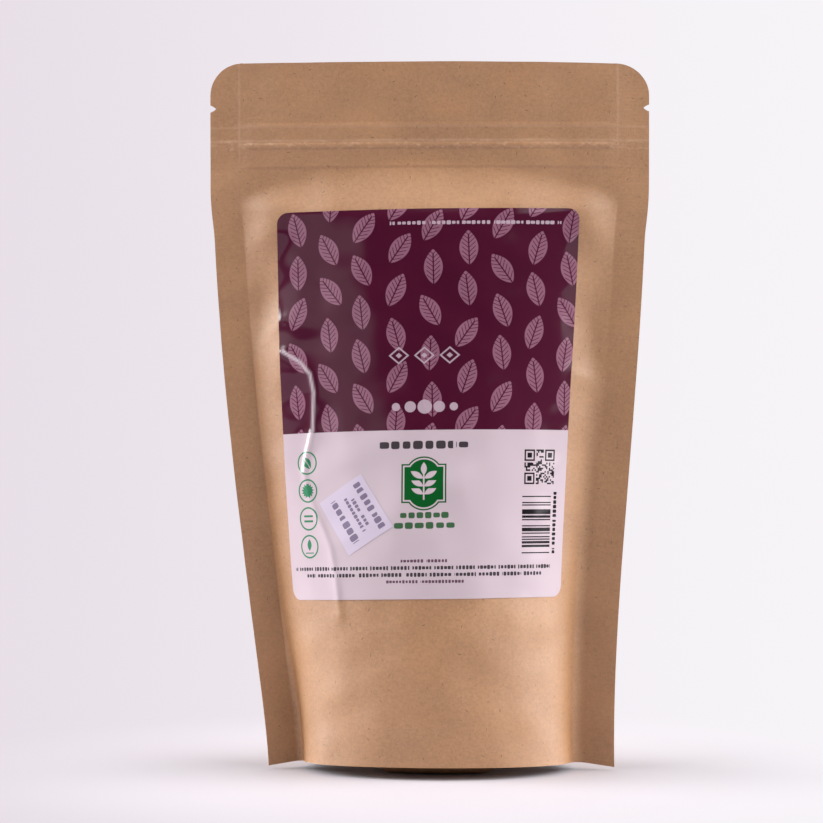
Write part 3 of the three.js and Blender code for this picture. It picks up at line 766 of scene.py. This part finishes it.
# Four rings in a column, each round its own plain sign: a leaf, a scalloped disc, two strokes, a drop.
def ringMask(x, y):
    cx, top, pitch, radius = printed["rings"]
    dx = x - cx
    step = ((y - top) / pitch).calc("ROUND").clamp(-3.0, 0.0)
    dy = y - top - step * pitch
    away = lengthOf(dx, dy)
    ring = abs(away - radius + 0.25).under(0.24)
    lx, ly = turned(dx, dy, 0.82, 0.57)
    leaf = leafMask(lx, ly, 1.25, 2.2) * (-(abs(lx).under(0.14)) + 1.0)
    turn = (dy / (away + 0.001)).calc("ARCSINE") * 14.0
    disc = (away - turn.calc("SINE") * 0.28).under(1.9, 0.1)
    strokes = abs(abs(dy) - 0.75).under(0.3) * abs(dx).under(1.7)
    drop = leafMask(dx, dy - 0.5, 0.8, 1.7).over(boxMask(dx, dy + 1.9, 1.6, 0.16))
    for k, sign in ((0, leaf), (-1, disc), (-2, strokes), (-3, drop)):
        ring = ring.over(sign * abs(step - float(k)).under(0.5, 0.1))
    return ring


# A square of small random blocks with a target in three corners, and a stack of random bars with a
# column of dashes beside it. Neither holds any code.
def codeMask(tree, x, y):
    cx, cy, count, size = printed["blocks"]
    dx, dy = (x - cx) / size + count / 2, (y - cy) / size + count / 2
    drawn = randomAt(tree, dx.calc("FLOOR"), dy.calc("FLOOR"))["Value"]
    blocks = Wire(tree, drawn).calc("GREATER_THAN", 0.5)
    far = count - 3.5
    target = None
    for ax, ay in ((3.5, 3.5), (3.5, far), (far, far)):
        reach = abs(dx - ax).over(abs(dy - ay))
        target = reach if target is None else target.calc("MINIMUM", reach)
    frame = target.under(1.5, 0.1).over(abs(target - 3.0).under(0.5, 0.1))
    blocks = blocks * (-(target.under(4.4, 0.1)) + 1.0)
    whole = boxMask(dx - count / 2, dy - count / 2, count / 2, count / 2)
    square = blocks.over(frame) * whole
    cx, cy, halfWide, halfHigh, pitch = printed["bars"]
    dx, dy = x - cx, y - cy
    drawn = randomAt(tree, (dy / pitch).calc("FLOOR"), 3.0)["Value"]
    bars = Wire(tree, drawn).calc("GREATER_THAN", 0.45) * boxMask(dx, dy, halfWide, halfHigh)
    beside = dashes(tree, dy, dx - 6.5, halfHigh, 0.75, 1.35, 8.4, 5.0)
    return square.over(bars).over(beside)


# The label: a plum upper part with leaves and ornaments, a white lower part with signs, a painted highlight
# in white along the fold, and a glossy varnish over all.
def makeLabelLook():
    material, tree, shader = newMaterial("labelPrint", {
        "Roughness": 0.5, "Specular IOR Level": 0.05, "Coat Weight": 0.8, "Coat Roughness": 0.07,
    })
    x, y = flatPlace(tree)
    colour = mixColour(tree, noise(tree, x * 0.1, y * 0.1), inks["plumDark"], inks["plumLight"])
    leaves = addNode(tree, "Group", node_tree=leafPattern, Place=vector(tree, x, y))
    colour = mixColour(tree, Wire(tree, leaves.outputs["Mask"]), colour, inks["mauve"])
    colour = mixColour(tree, ornamentMask(x, y) * 0.85, colour, inks["pale"])
    lower = (y - printed["edge"]).under(0.0, 0.06)
    colour = mixColour(tree, lower, colour, inks["white"])
    for k, ((cx, cy), *sizes, ink) in enumerate(printed["rows"]):
        row = dashes(tree, x - cx, y - cy, *sizes, k + 1.3)
        colour = mixColour(tree, row * 0.92, colour, inks[ink])
    plaque, pale = plaqueMasks(x, y)
    # the fold attribute carries a painted highlight, white along the crease
    fold = Wire(tree, addNode(tree, "Attribute", attribute_name="fold").outputs["Fac"])
    for mask, ink in ((plaque, "green"), (pale, "white"), (ringMask(x, y), "ringGreen"),
                      (codeMask(tree, x, y), "black"), (fold, "white")):
        colour = mixColour(tree, mask, colour, inks[ink])
    feed(shader.inputs["Base Color"], colour)
    ripple = noise(tree, x * 0.09, y * 0.04, 2.0, detail=1.5)
    bumpInto(tree, shader, ripple, 0.35, 0.001)
    return material


# The sticker: pale paper with four columns of dashes.
def makeStickerLook():
    material, tree, shader = newMaterial("stickerPaper", {"Roughness": 0.45})
    x, y = flatPlace(tree)
    cloud = noise(tree, x * 0.4, y * 0.4)
    colour = mixColour(tree, cloud * 0.2, inks["stickerPaper"], inks["white"])
    for cx, *sizes in ((5.3, 7.6, 1.2, 2.0, 6.6), (1.9, 4.6, 0.65, 1.2, 5.2), (0.0, 5.6, 0.65, 1.2, 12.0),
                       (-3.9, 7.0, 1.35, 2.2, 8.3)):
        row = dashes(tree, y, x - cx, *sizes, cx + 20)
        colour = mixColour(tree, row * 0.8, colour, inks["stickerText"])
    feed(shader.inputs["Base Color"], colour)
    return material


label = {
    "width": 90, "height": 116, "place": (-0.9, 107), "turn": np.radians(0.8), "slant": 0.029,
    "radius": 3.5, "thickness": 0.1, "lift": 0.06, "step": 0.55, "highlightWidth": 0.42, "highlightEnds": (88, 99),
}
sticker = {
    "width": 16.3, "height": 18.2, "place": (-21.8, 73.5), "turn": np.radians(32), "slant": 0,
    "radius": 0.01, "thickness": 0.07, "lift": 0.02, "step": 0.7,
}


# A round-cornered rectangle stuck on the front: its grid is turned and slanted in the flat, then laid at
# a distance over the bent panel. x and y from its own middle are its flat places.
def makeStuck(name, shape, distance, look):
    reach, high = shape["width"] / 2, shape["height"] / 2
    straight = high - shape["radius"]
    corner = straight + shape["radius"] * np.sin(np.linspace(0, np.pi / 2, 10)[1:])
    level = np.linspace(-straight, straight, int(2 * straight / shape["step"]) + 1)
    y = np.concatenate([-corner[::-1], level, corner])
    into = np.maximum(0, abs(y) - straight)
    wide = reach - shape["radius"] + np.sqrt(np.maximum(0, shape["radius"] ** 2 - into ** 2))
    across = np.linspace(-1, 1, int(2 * reach / shape["step"]) + 1)
    x = wide[:, None] * across
    y = np.repeat(y[:, None], len(across), 1)
    slid = x + shape["slant"] * y
    cosine, sine = np.cos(shape["turn"]), np.sin(shape["turn"])
    u = shape["place"][0] + slid * cosine - y * sine
    v = shape["place"][1] + slid * sine + y * cosine
    bent = panelOffset(-1, u, v, distance)
    mesh = sheetMesh(name, bent, shape["thickness"], np.stack([x, y], -1), [look])
    if "highlightWidth" in shape:
        # a painted highlight in white along the fold: a bell curve of the distance from it, gone at its
        # lower end
        wearAndHighlight = np.exp(-(fromPath(u, v, facetEdge) / shape["highlightWidth"]) ** 2)
        wearAndHighlight = np.tile((wearAndHighlight * smooth(v, *shape["highlightEnds"])).ravel(), 2)
        mesh.attributes.new("fold", "FLOAT", "POINT").data.foreach_set("value", wearAndHighlight)
    return addObject(name, mesh)


labelOver = pouch["wall"] / 2 + label["lift"] + label["thickness"] / 2
frontLabel = makeStuck("frontLabel", label, labelOver, makeLabelLook())
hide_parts("label")
stickerOver = labelOver + label["thickness"] / 2 + sticker["lift"] + sticker["thickness"] / 2
lotSticker = makeStuck("lotSticker", sticker, stickerOver, makeStickerLook())
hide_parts("lot_sticker")
print("label and sticker made")


zipper = {
    "gap": 0.08, "rib": 0.36, "ribEdge": (0.3, 0.55), "channel": 0.5, "channelEdge": (0.6, 0.85),
    "rowStep": 1.2, "rowFine": (0.12, 1.4), "columns": 60,
}


# Each strip lies between its panel and the middle plane. The front one has a rib, and the back one the
# channel that the rib sits in, both smoothed steps of the distance from the zipper's line.
def makeZipper(name, side, look):
    p, z = pouch, zipper
    rows = spread(p["zipHeight"] - p["zipHalfHeight"], p["zipHeight"] + p["zipHalfHeight"], z["rowStep"],
                  (p["zipHeight"],), *z["rowFine"])
    columns = np.linspace(-1, 1, z["columns"]) * p["zipHalfLength"]
    u, v = np.meshgrid(columns[::-side], rows)
    away = abs(v - p["zipHeight"])
    outer = side * (halfGap(u, v, side) - p["wall"] / 2 - z["gap"])
    kind = "rib" if side < 0 else "channel"
    inner = side * z["gap"] + z[kind] * (1 - smooth(away, *z[kind + "Edge"]))
    base = middlePoint(u, v)
    base[..., 1] += unevenness(u, v)
    outerGrid, innerGrid = base.copy(), base
    outerGrid[..., 1] += outer
    innerGrid[..., 1] += inner
    return addObject(name, shellMesh(name, outerGrid, innerGrid, np.stack([u, v], -1), [look]))


# The zipper's film: milky and a little cloudy.
def makeZipFilm():
    material, tree, shader = newMaterial("zipFilm", {"Roughness": 0.3})
    cloud = addNode(tree, "TexNoise", Scale=300.0, Detail=4.0)
    tree.links.new(addNode(tree, "TexCoord").outputs["Object"], cloud.inputs["Vector"])
    colour = mixColour(tree, Wire(tree, cloud.outputs["Fac"]), rgb(205, 200, 192), rgb(232, 228, 222))
    feed(shader.inputs["Base Color"], colour)
    return material


zipFilm = makeZipFilm()
zipRib = makeZipper("zipRibStrip", -1, zipFilm)
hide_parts("zipper_rib_strip")
zipChannel = makeZipper("zipChannelStrip", 1, zipFilm)
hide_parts("zipper_channel_strip")
print("zipper made")


date = {
    "around": 48, "along": 46, "tipAngle": 0.12, "foldDrift": 0.35, "wrinkles": (17, 9),
    "folds": 6, "foldDepth": 0.07, "fine": 0.012, "blunt": 0.8, "seed": 11,
    "ofNode": (0.94, 0.86, 0.86), "closerIn": (0.95, 0.95, 1),
}


# Date skin: two browns in blisters, glossier where it is dark.
def makeDateSkin():
    material, tree, shader = newMaterial("dateSkin", {})
    x, y, z = (part * 1000.0 for part in split(tree, addNode(tree, "TexCoord").outputs["Object"]))
    blister = noise(tree, x * 0.2, y * 0.2, z * 0.2, detail=4, roughness=0.6)
    fine = noise(tree, x * 0.9, y * 0.9, z * 0.9, detail=4)
    tone = ((blister - 0.5) * 2.4 + (fine - 0.5) * 0.8 + 0.4).clamp()
    colour = mixColour(tree, tone, rgb(50, 22, 11), rgb(112, 62, 30))
    feed(shader.inputs["Base Color"], colour)
    feed(shader.inputs["Roughness"], tone * 0.25 + 0.28)
    bumpInto(tree, shader, fine, 0.3, 0.0005)
    return material


# A date is a spindle round its node's own longest axis: radius = (1 - along^2)^(blunt / 2), less lengthwise
# folds, each (1 - |cos|)^2 of an angle that drifts along the date. It is a little smaller than its node,
# and closer to the pouch's middle, because the paper pulls in beside its seals.
def makeDate(name, draw, look):
    node, d = frame["nodes"][name], date
    points = np.empty(len(node.data.vertices) * 3)
    node.data.vertices.foreach_get("co", points)
    points = points.reshape(-1, 3)
    middle = points.mean(0)
    axes = np.linalg.svd(points - middle, full_matrices=False)[2]
    axes[2] = np.cross(axes[0], axes[1])
    local = (points - middle) @ axes.T
    middle = middle + (local.min(0) + local.max(0)) / 2 @ axes
    long, wide, thick = (local.max(0) - local.min(0)) / 2 * d["ofNode"]
    middle = middle * d["closerIn"]
    along = -np.cos(np.linspace(d["tipAngle"], np.pi - d["tipAngle"], d["along"]))[:, None]
    angle = np.arange(d["around"]) / d["around"] * 2 * np.pi
    radius = (1 - along ** 2) ** (d["blunt"] / 2) * np.ones_like(angle)
    for _ in range(d["folds"]):
        count = draw.integers(2, 5) * 2
        phase, drift = draw.uniform(0, 2 * np.pi, 2)
        share = draw.uniform(0.3, 1)
        fold = (1 - abs(np.cos(count * angle / 2 + phase + d["foldDrift"] * drift * along))) ** 2
        radius = radius * (1 - d["foldDepth"] * share * fold)
    around, lengthwise = d["wrinkles"]
    radius *= 1 - d["fine"] * (1 + np.sin(around * angle + lengthwise * along))
    across, deep = radius * np.cos(angle) * wide, radius * np.sin(angle) * thick
    grid = np.stack([along * long + 0 * radius, across, deep], -1)
    ends = np.array([[-long, 0, 0], [long, 0, 0]])
    ring = np.arange(radius.size).reshape(radius.shape)
    beside = np.roll(ring, -1, 1)
    quads = np.stack([ring[:-1], beside[:-1], beside[1:], ring[1:]], -1).reshape(-1, 4)
    tail = np.stack([0 * ring[0] + radius.size, beside[0], ring[0]], -1)
    tip = np.stack([0 * ring[0] + radius.size + 1, ring[-1], beside[-1]], -1)
    mesh = bpy.data.meshes.new(name + "_skin")
    mesh.from_pydata((np.concatenate([grid.reshape(-1, 3), ends]) @ axes + middle).tolist(), [],
                     quads.tolist() + tail.tolist() + tip.tolist())
    mesh.polygons.foreach_set("use_smooth", np.ones(len(mesh.polygons), bool))
    mesh.materials.append(look)
    piece = addObject(name + "_skin", mesh)
    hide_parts(name)


dateDraw = np.random.default_rng(date["seed"])
dateSkin = makeDateSkin()
for name in sorted(name for name in frame["nodes"] if name.startswith("date_")):
    makeDate(name, dateDraw, dateSkin)
print("dates made")


studio = {
    "floorRadius": 6.0, "floorSides": 96, "floorColour": (0.5, 0.475, 0.51), "floorFades": (0.05, 0.16),
    "seenFrom": (0.04, -0.9),
    "backdropLeft": rgb(231, 222, 230), "backdropRight": rgb(247, 244, 248), "backdropSpan": (-0.24, 0.1),
    # azimuth of the middle, where +X is 90 and the camera's side 0, half width and soft edge, then the
    # elevations where a box starts, is full, starts to fade and ends, all in degrees, and its radiance:
    # low, middle and high boxes at the left and the right, weak ones nearer the camera, one behind
    "softBoxes": [
        (-100, 10, 10, 1, 5, 15, 26, 15.5),
        (-60, 8, 12, 1, 5, 15, 26, 1.2),
        (-80, 24, 14, 16, 24, 36, 48, 7.0),
        (-80, 14, 20, 42, 50, 58, 70, 3.4),
        (-35, 5, 12, 1, 5, 15, 26, 0.7),
        (104, 12, 13, 1, 5, 15, 26, 11.0),
        (78, 6, 10, 1, 5, 15, 26, 2.6),
        (80, 26, 16, 16, 24, 36, 48, 7.0),
        (35, 5, 14, 16, 24, 36, 48, 1.6),
        (80, 14, 20, 42, 50, 58, 70, 4.6),
        (180, 30, 40, 1, 5, 12, 50, 0.9),
    ],
    "ceiling": (40, 80, 1.6), "warmth": (1.0, 0.985, 0.985),
}


# The same smooth step as above, for a number in a node tree.
def smoothWire(value, low, high):
    t = ((value - low) / (high - low)).clamp()
    return t * t * (t * -2.0 + 3.0)


# The backdrop's colour, which runs from left to right over a span of the camera's view.
def backdrop(tree, across):
    s = studio
    return mixColour(tree, smoothWire(across, *s["backdropSpan"]), s["backdropLeft"], s["backdropRight"])


def mixShaders(tree, share, first, second, end):
    mix = addNode(tree, "MixShader")
    for k, socket in enumerate((share, first.outputs[0], second.outputs[0])):
        tree.links.new(socket, mix.inputs[k])
    tree.links.new(mix.outputs[0], tree.nodes[end].inputs["Surface"])


# The floor is a disc. Far out it fades into the backdrop's own colour, so that no horizon shows.
def makeFloor():
    s = studio
    k = np.arange(s["floorSides"])
    angle = 2 * np.pi * k / len(k)
    ring = np.stack([np.cos(angle), np.sin(angle), 0 * angle], -1) * s["floorRadius"] * 1000
    points = np.concatenate([[[0, 0, 0]], ring])
    mesh = bpy.data.meshes.new("floor")
    faces = np.stack([0 * k, k + 1, (k + 1) % len(k) + 1], -1)
    mesh.from_pydata((points / 1000).tolist(), [], faces.tolist())
    colour = (*s["floorColour"], 1)
    material, tree, shader = newMaterial("paleFloor", {"Base Color": colour, "Roughness": 0.7})
    x, y, _ = split(tree, addNode(tree, "TexCoord").outputs["Object"])
    dx, dy = x - s["seenFrom"][0], y - s["seenFrom"][1]
    glow = addNode(tree, "Emission", Color=backdrop(tree, dx / lengthOf(dx, dy)))
    fade = smoothWire(lengthOf(x, y), *s["floorFades"])
    mixShaders(tree, fade.socket, shader, glow, "Material Output")
    mesh.materials.append(material)
    floor = addObject("floor", mesh, body=None)


# The room: soft boxes at both sides, which grow weak towards the camera, a pale one behind, and a dim
# ceiling. The camera sees a plain backdrop in its place.
def makeRoom():
    s = studio
    world = bpy.data.worlds.new("studio")
    world.use_nodes = True
    tree = world.node_tree
    x, y, z = split(tree, addNode(tree, "TexCoord").outputs["Generated"])
    azimuth = x.calc("ARCTAN2", y * -1.0) * (180 / np.pi)
    elevation = z.calc("ARCSINE") * (180 / np.pi)
    low, high, radiance = s["ceiling"]
    bright = smoothWire(elevation, low, high) * radiance
    for middle, reach, edge, starts, full, fades, ends, radiance in s["softBoxes"]:
        away = abs((azimuth - middle + 180.0).calc("FLOORED_MODULO", 360.0) - 180.0)
        across = smoothWire(away, reach, reach + edge) * -1.0 + 1.0
        up = (smoothWire(elevation, fades, ends) * -1.0 + 1.0) * smoothWire(elevation, starts, full)
        bright = bright + across * up * radiance
    back = tree.nodes["Background"]
    back.inputs["Color"].default_value = (*s["warmth"], 1)
    feed(back.inputs["Strength"], bright)
    seen = addNode(tree, "Background", Color=backdrop(tree, x))
    toCamera = addNode(tree, "LightPath").outputs["Is Camera Ray"]
    mixShaders(tree, toCamera, back, seen, "World Output")
    bpy.context.scene.world = world


camera = {
    "distance": 900, "height": 117, "yaw": 2.6, "pixels": 823, "scale": 3.372,
    "centre": (429.0, 374.15), "sensor": 36, "clip": (0.05, 20),
}


# The camera stands at the fitted distance and height. It is turned so that the point straight ahead of
# the fit lands on its own pixel of the frame.
def makeCamera():
    c = camera
    yaw = np.radians(c["yaw"])
    focal = c["scale"] * c["distance"]  # in pixels
    data = bpy.data.cameras.new("photoCamera")
    data.sensor_width = c["sensor"]
    data.lens = focal / c["pixels"] * c["sensor"]
    data.clip_start, data.clip_end = c["clip"]
    thing = bpy.data.objects.new("photoCamera", data)
    bpy.context.scene.collection.objects.link(thing)
    away = c["distance"] / 1000
    thing.location = (away * np.sin(yaw), -away * np.cos(yaw), c["height"] / 1000)
    aside = np.arctan((c["centre"][0] - c["pixels"] / 2) / focal)
    down = np.arctan((c["pixels"] / 2 - c["centre"][1]) / focal)
    thing.rotation_euler = (np.pi / 2 - down, 0, yaw + aside)
    bpy.context.scene.camera = thing


makeFloor()
makeRoom()
makeCamera()
scene = bpy.context.scene
scene.view_settings.view_transform = "Standard"
print("floor, lights and camera made")
